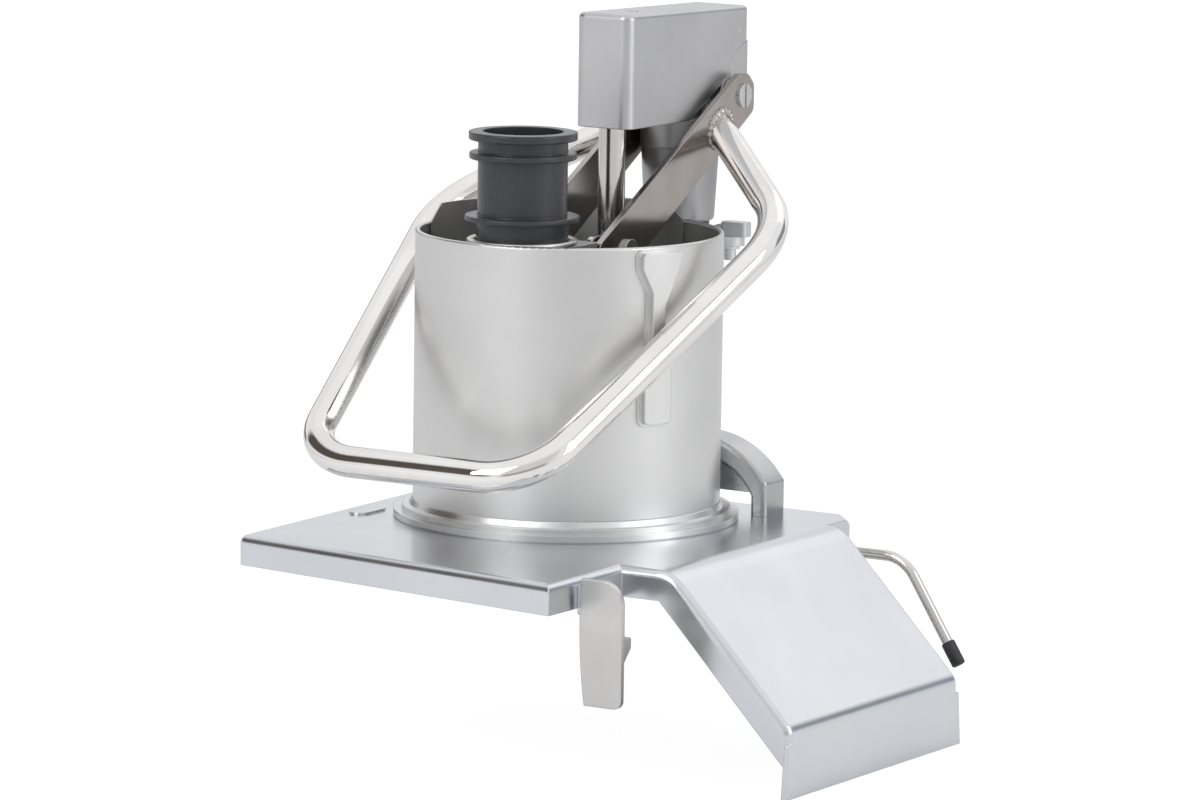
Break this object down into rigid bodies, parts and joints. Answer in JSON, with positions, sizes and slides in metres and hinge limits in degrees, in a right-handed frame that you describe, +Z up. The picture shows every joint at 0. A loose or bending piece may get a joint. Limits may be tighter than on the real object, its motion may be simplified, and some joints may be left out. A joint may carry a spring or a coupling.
{
  "type": "vegetable cutter feed head",
  "caption": "Feed head of a vegetable cutter: cast lid with chute, round hopper and feed tube, lever with pusher on a guide rod, round pusher, latch and hinge rod.",
  "frame": {"origin": "hopper axis at the plane where the lid's underside rests on the cutting bowl", "axes": "+Z up along the hopper axis, +X towards the discharge chute, +Y away from the front latch towards the hinge rod"},
  "size_m": [0.3688, 0.391, 0.4305],
  "materials": {
    "cast_alu": "satin polished",
    "hopper_steel": "bead blasted satin",
    "bright_steel": "polished",
    "brushed_plate": "fine brushed",
    "head_grey": "fine cast, matt",
    "column_grey": "cast, matt",
    "steel": "machined",
    "black_plastic": "satin",
    "charcoal_plastic": "satin",
    "bush_plastic": "plain",
    "cap_rubber": "matt"
  },
  "bodies": {
    "base": {"lid_plate_with_chute": "cast_alu", "feed_ring": "cast_alu", "hopper_wall": "hopper_steel", "back_guard": "hopper_steel", "round_feed_tube": "hopper_steel", "tube_partition": "hopper_steel", "interlock_channel": "hopper_steel", "arched_brace": "cast_alu", "rear_bracket": "cast_alu", "swivel_post": "steel", "swivel_washers": "black_plastic", "swivel_column": "column_grey", "lower_swivel_bush": "bush_plastic", "upper_swivel_bush": "bush_plastic", "head_housing": "head_grey", "post_nut": "steel", "head_base_plate": "head_grey", "guide_rod": "bright_steel", "pivot_block": "head_grey", "block_cross_pin": "steel", "pivot_bushes": "bush_plastic", "latch_bracket": "cast_alu", "latch_pin": "steel", "latch_spring": "steel", "hinge_knuckles": "cast_alu"},
    "lever": {"right_arm": "brushed_plate", "left_arm": "brushed_plate", "pivot_bolt": "steel", "pivot_spacers": "steel", "drive_pin": "steel", "handle_tube": "bright_steel"},
    "pusher": {"pusher_plate": "cast_alu", "pusher_yoke": "steel", "pusher_bush": "bush_plastic", "pusher_screws": "steel"},
    "small_pusher": {"round_pusher": "charcoal_plastic"},
    "latch": {"latch_hook": "cast_alu"},
    "rod": {"hinge_rod": "bright_steel", "rod_cap": "cap_rubber"},
    "catch": {"swing_catch": "steel", "catch_clip": "steel"}
  },
  "joints": [
    {"name": "lever_swing", "type": "hinge", "parent": "base", "child": "lever", "pos_m": [0, 0.1546, 0.2504], "axis": [-1, 0, 0], "range_deg": [0, 65]},
    {"name": "pusher_lift", "type": "slide", "parent": "base", "child": "pusher", "axis": [0, 0, 1], "range_m": [0, 0.1711]},
    {"name": "small_pusher_lift", "type": "slide", "parent": "base", "child": "small_pusher", "axis": [0, 0, 1], "range_m": [0, 0.15]},
    {"name": "latch_swing", "type": "hinge", "parent": "base", "child": "latch", "pos_m": [0.1418, -0.178, -0.013], "axis": [-1, 0, 0], "range_deg": [0, 35]},
    {"name": "rod_pull", "type": "slide", "parent": "base", "child": "rod", "axis": [1, 0, 0], "range_m": [0, 0.2]},
    {"name": "catch_turn", "type": "hinge", "parent": "base", "child": "catch", "pos_m": [0.047, 0.112, 0.168], "axis": [0, 0, -1], "range_deg": [0, 90]}
  ],
  "couplings": [
    {"joint": "pusher_lift", "follows": "lever_swing", "m_per_rad": 0.15071}
  ]
}
